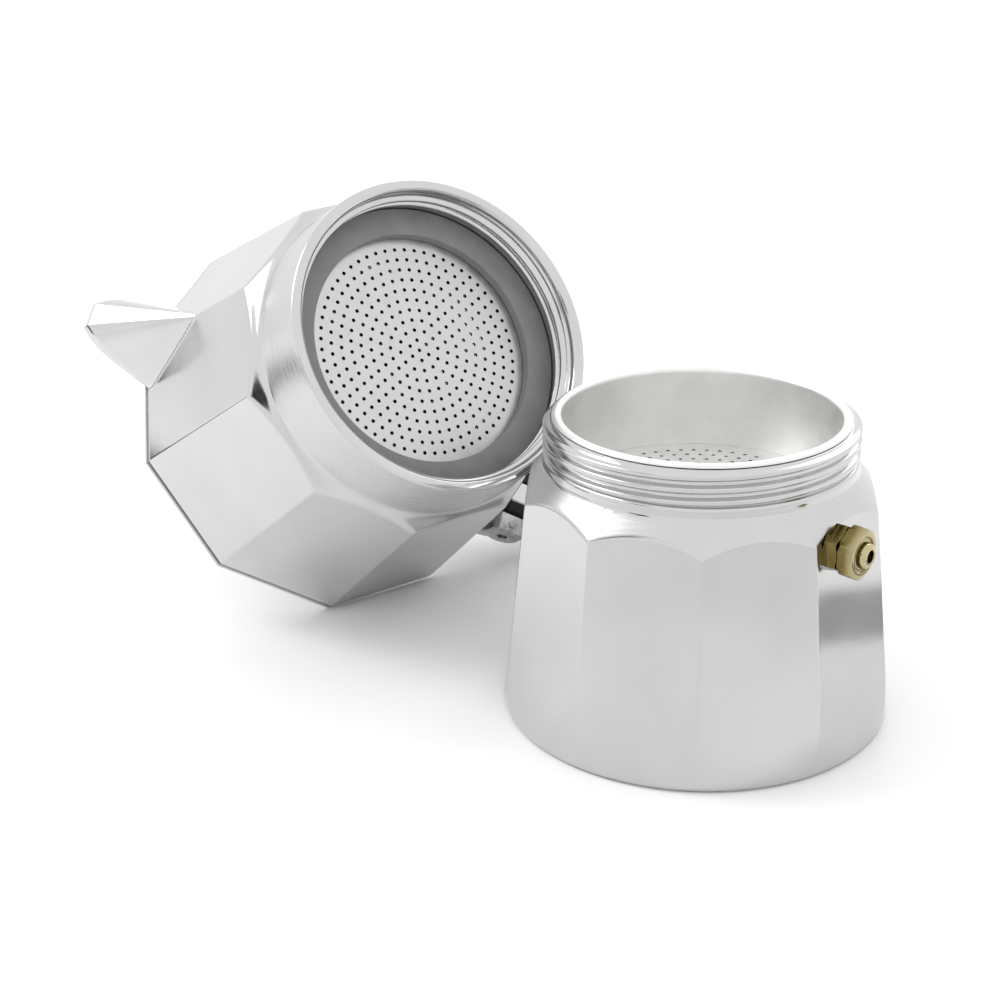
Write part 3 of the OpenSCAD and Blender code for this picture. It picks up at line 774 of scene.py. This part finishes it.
def curve_through(points, count):
    """Points on a smooth curve through the given ones."""
    p = np.array(points, float)
    p = np.vstack([2 * p[0] - p[1], p, 2 * p[-1] - p[-2]])
    out = []
    for u in np.linspace(0, len(points) - 1 - 1e-9, count):
        k = int(u)
        t = u - k
        a, b, c, d = p[k:k + 4]
        out.append(0.5 * ((2 * b) + (c - a) * t + (2 * a - 5 * b + 4 * c - d) * t * t
                          + (3 * b - a - 3 * c + d) * t ** 3))
    return np.array(out)


def make_handle():
    """A bar of rounded section swept along a curve: x, z and half thickness at each point."""
    path = curve_through([(57.4, 72.5, 2.0), (58.2, 72.5, 3.4), (60, 72.5, 4.3), (67, 72.3, 4.9),
                          (74.5, 70.9, 5.6), (82.3, 65.4, 6.3), (87.6, 57.2, 6.4),
                          (89.6, 47.5, 6.2), (89.2, 36, 5.6), (87.6, 27, 4.6), (87.3, 23.2, 3.4),
                          (87.2, 21.8, 1.2)], 90)
    widths = np.interp(np.linspace(0, 1, len(path)), [0, 0.02, 0.06, 0.3, 0.6, 0.93, 0.98, 1],
                       [6.3, 7.2, 7.5, 7.5, 7.2, 6.4, 5.2, 3.2])
    turn = round_angles(64)
    power = 0.42
    side = np.sign(np.cos(turn)) * np.abs(np.cos(turn)) ** power
    rise = np.sign(np.sin(turn)) * np.abs(np.sin(turn)) ** power
    verts = []
    along = np.gradient(path[:, :2], axis=0)
    along /= np.linalg.norm(along, axis=1)[:, None]
    for (x, z, thick), (tx, tz), width in zip(path, along, widths):
        verts += [(x - tz * thick * s, width * w, z + tx * thick * s) for s, w in zip(side, rise)]
    count, last = len(turn), len(path) - 1
    faces = [tuple(range(count))[::-1], tuple(range(last * count, (last + 1) * count))]
    for k in range(last):
        a, b = k * count, (k + 1) * count
        faces += [(a + j, a + (j + 1) % count, b + (j + 1) % count, b + j) for j in range(count)]
    handle = mesh_object("handle", verts, faces, COLLECTOR, sharp=50)
    half = LUG_HALF + 0.2
    slot = plate("slot_cutter", [(50, 60), (73.2, 60), (73.2, 84), (50, 84)], -half, half, 0.05)
    cut_away(handle, slot)
    finished(handle, PLASTIC, "collector", "black_plastic", "handle")


def lid_ear(name, y0, y1):
    """Cast ear of the hinge: a block round the pin, with the pin's hole."""
    low, cut_x, cut_z = LID_LOW, 1.3, 1.4
    left, right, under = PIN_X - EAR_R, PIN_X + EAR_R, PIN_Z - EAR_R
    outline = arc(PIN_X, PIN_Z, EAR_R, 0, 120, 11)
    outline += [(left - 1, low + 2.4), (44.2, low + 2.8), (44.2, low), (53.5, low), (left, PIN_Z)]
    outline += [(left, under + cut_z), (left + cut_x, under), (right - cut_x, under),
                (right, under + cut_z)]
    ear = plate(name, outline, y0, y1, 0.45)
    hole = turned("hole_cutter", [(1.5, -20), (1.5, 20)], along_y(PIN_X, PIN_Z), 48)
    cut_away(ear, hole)
    ear.data.shade_smooth()
    ear.data.set_sharp_from_angle(angle=math.radians(15))
    return ear


def ear_pad(name, y):
    """Small round pad with a sunk middle, on the side of an ear that faces the mouth."""
    middle = COLLECTOR @ moved(PIN_X, y, PIN_Z - EAR_R)
    return turned(name, [(1.25, 0.2), (1.25, -0.2), (1.1, -0.3), (0.8, -0.3), (0.65, -0.1),
                         (0.3, -0.05)], middle, 32)


def make_lid():
    angles = corner_angles(0.0)
    shape = collector_facets(angles)
    low, crown = LID_LOW, LID_CROWN

    def ring(r, z):
        blend = smooth_step(9, 17, r)
        return r * (1 + (shape - 1) * blend), np.full(len(angles), float(z))

    top = [(4, crown), (9.6, crown), (10.6, crown - 0.06), (11.4, crown - 0.25)]
    top += straight(top[-1], (49.6, low + 1.65), 18)
    edge = [(50.2, low + 1.4), (50.7, low + 1.23), (51.3, low + 1.2), (53.3, low + 1.2),
            (53.6, low + 1.15), (53.75, low + 1.05), (53.75, low + 0.6), (53.7, low + 0.5),
            (53.55, low + 0.45), (50.5, low + 0.45), (49.6, low + 0.5), (48.6, low + 0.6)]
    inside = straight(edge[-1], (11.2, low + 8.65), 12) + [(10.4, crown - 1.22), (4, crown - 1.2)]
    rows = [ring(r, z) for r, z in top + edge + inside]
    lid = lathe("lid_shell", angles, rows, COLLECTOR)
    finished(lid, ALUMINIUM, "lid", "cast_aluminium", "lid")
    for name, y0 in (("lid_ear_near", EAR_IN), ("lid_ear_far", -EAR_IN - EAR_WIDTH)):
        finished(lid_ear(name, y0, y0 + EAR_WIDTH), CASTING, "lid", "cast_aluminium", "lid")
        finished(ear_pad(name + "_pad", y0 + EAR_WIDTH / 2), CASTING, "lid", "cast_aluminium", "lid")


def make_knob():
    foot = LID_CROWN
    washer = [(2.1, foot + 0.02), (7.1, foot + 0.02), (7.2, foot + 0.12), (7.2, foot + 0.65),
              (7.05, foot + 0.8), (2.1, foot + 0.8)]
    finished(turned("knob_washer", washer, COLLECTOR, 96, ring=True), STEEL, "lid", "steel",
             "knob_washer")
    base = foot + 0.82
    outline = curve_through([(6.6, 0.4), (6.2, 2.5), (6.3, 6), (7.6, 10.5), (9.2, 14.0),
                             (9.5, 16.2), (8.7, 18.2), (6.5, 19.4), (3, 19.95)], 40)
    profile = [(2, base), (6.2, base), (6.5, base + 0.15)] + [(r, base + z) for r, z in outline]
    finished(turned("knob", profile, COLLECTOR, 96), PLASTIC, "lid", "black_plastic", "knob")
    under = foot - 1.22
    screw = [(1, under - 1.55), (2.8, under - 1.5), (3.7, under - 1.1), (4.0, under - 0.6),
             (4.0, under), (1.9, under), (1.9, base + 8.6), (1.5, base + 9)]
    finished(turned("knob_screw", screw, COLLECTOR, 64), STEEL, "lid", "steel", "knob_screw")


# ---- CAD nodes that stay ----

def dress_cad(node, material):
    """Gives a CAD node that stays visible its material."""
    thing = frame["nodes"][node]
    if not thing.data.materials:
        thing.data.materials.append(material)
    for slot in thing.material_slots:
        slot.material = material


# ---- Stage ----

# the second grey is painted shade: the floor in front, darker only where the metal reflects it
FLOOR_GREY, NEAR_SHADE_GREY = 0.92, 0.76
FLOOR_REACH = 4000
SKY_STRENGTH = 1.13
POT_MIDDLE = (-40, 20, 50)
CAMERA_AT = (0, -398.66, 214.52)
# degrees: heading to the left of straight ahead, downward tilt and roll
CAMERA_HEADING, CAMERA_TILT, CAMERA_ROLL = 6.950, 22.054, -0.831
CAMERA_LENS = 65.65


def area_light(name, place, size, power):
    """A rectangular lamp that points at the pot."""
    light = bpy.data.lights.new(name, "AREA")
    light.shape = "RECTANGLE"
    light.size, light.size_y = size[0] * MM, size[1] * MM
    light.energy = power
    lamp = bpy.data.objects.new(name, light)
    lamp.location = Vector(place) * MM
    lamp.rotation_mode = "QUATERNION"
    lamp.rotation_quaternion = (Vector(POT_MIDDLE) - Vector(place)).to_track_quat("-Z", "Y")
    bpy.context.scene.collection.objects.link(lamp)


def card(name, middle, bearing, width, height, grey, lying=False):
    """A plain card, upright or lying, that the polished metal reflects. It is never seen itself."""
    turn = math.radians(bearing)
    side = Vector((-math.sin(turn), math.cos(turn), 0)) * width / 2
    rise = Vector((math.cos(turn), math.sin(turn), 0)) if lying else Vector((0, 0, 1))
    rise *= height / 2
    corners = [Vector(middle) + a * side + b * rise for a, b in ((-1, -1), (1, -1), (1, 1), (-1, 1))]
    piece = mesh_object(name, corners, [(0, 1, 2, 3)], UPRIGHT)
    material = bpy.data.materials.new(name)
    tree, shader = nodes_of(material)
    shader.inputs["Base Color"].default_value = (grey, grey, grey, 1)
    shader.inputs["Roughness"].default_value = 1
    shader.inputs["Specular IOR Level"].default_value = 0
    piece.data.materials.append(material)
    piece.visible_camera = False
    piece.visible_diffuse = False
    piece.visible_shadow = False
    return piece


def fade_floor_shade(material, near, far, start, end):
    """Lets a lying card's grey run from one value to another between two distances along Y: the painted
    shade of the floor in front fades to the floor's own grey towards the pot.
    """
    tree, shader = nodes_of(material)
    where = add(tree, "ShaderNodeSeparateXYZ")
    tree.links.new(add(tree, "ShaderNodeTexCoord").outputs["Object"], where.inputs[0])
    along = spread(tree, where.outputs["Y"], 0.0, 1.0, start * MM, end * MM)
    tree.links.new(tint(tree, along, [(0.0, (near,) * 3), (1.0, (far,) * 3)]),
                   shader.inputs["Base Color"])


def make_cards():
    card("dark_card_front", (-348, -395, 262), -122, 125, 165, 0.004)
    card("dark_card_left", (-330, 50, 20), 170, 240, 30, 0.12)
    card("grey_card_right", (107, 5, 7.5), 22, 130, 15, 0.46)
    # painted shade: a grey sheet on the floor in front, seen only in reflections
    near = card("floor_shade_card_near", (0, -380, -0.03), -90, 1400, 700, NEAR_SHADE_GREY, lying=True)
    fade_floor_shade(near.data.materials[0], NEAR_SHADE_GREY, FLOOR_GREY, -170, -30)


def make_floor():
    ends = (-FLOOR_REACH, FLOOR_REACH)
    ground = mesh_object("floor", [(x, y, -0.05) for x in ends for y in ends], [(0, 1, 3, 2)], UPRIGHT)
    material = bpy.data.materials.new("floor_white")
    tree, shader = nodes_of(material)
    shader.inputs["Base Color"].default_value = (FLOOR_GREY, FLOOR_GREY, FLOOR_GREY, 1)
    shader.inputs["Roughness"].default_value = 0.6
    ground.data.materials.append(material)


def make_light():
    """An even white surround, with a soft key from the left and a weaker light from behind."""
    world = bpy.data.worlds.new("studio")
    world.use_nodes = True
    sky = world.node_tree.nodes["Background"]
    sky.inputs["Color"].default_value = (1, 1, 1, 1)
    sky.inputs["Strength"].default_value = SKY_STRENGTH
    bpy.context.scene.world = world
    area_light("key", (-1000, 50, 950), (500, 700), 5)
    area_light("back", (300, 1200, 900), (1200, 800), 3)


def make_camera():
    """The photograph's view, from the front and above the boiler's axis."""
    data = bpy.data.cameras.new("camera")
    data.lens = CAMERA_LENS
    data.sensor_width = 36
    data.clip_start, data.clip_end = 0.01, 20
    camera = bpy.data.objects.new("camera", data)
    turn = Matrix.Rotation(math.radians(CAMERA_HEADING), 4, "Z")
    turn = turn @ Matrix.Rotation(math.radians(90 - CAMERA_TILT), 4, "X")
    turn = turn @ Matrix.Rotation(math.radians(CAMERA_ROLL), 4, "Z")
    camera.matrix_world = moved(*CAMERA_AT) @ turn
    bpy.context.scene.collection.objects.link(camera)
    bpy.context.scene.camera = camera


make_camera()
bpy.context.scene.view_settings.view_transform = "Standard"
make_cards()
make_floor()
make_light()
make_boiler()
make_valve()
make_funnel()
make_collector()
make_gasket()
make_pins()
make_handle()
make_lid()
make_knob()
dress_cad("funnel_disc", PRESSED)
dress_cad("filter_plate", FILTER)
dress_cad("valve_ball", STEEL)
dress_cad("valve_spring", STEEL)
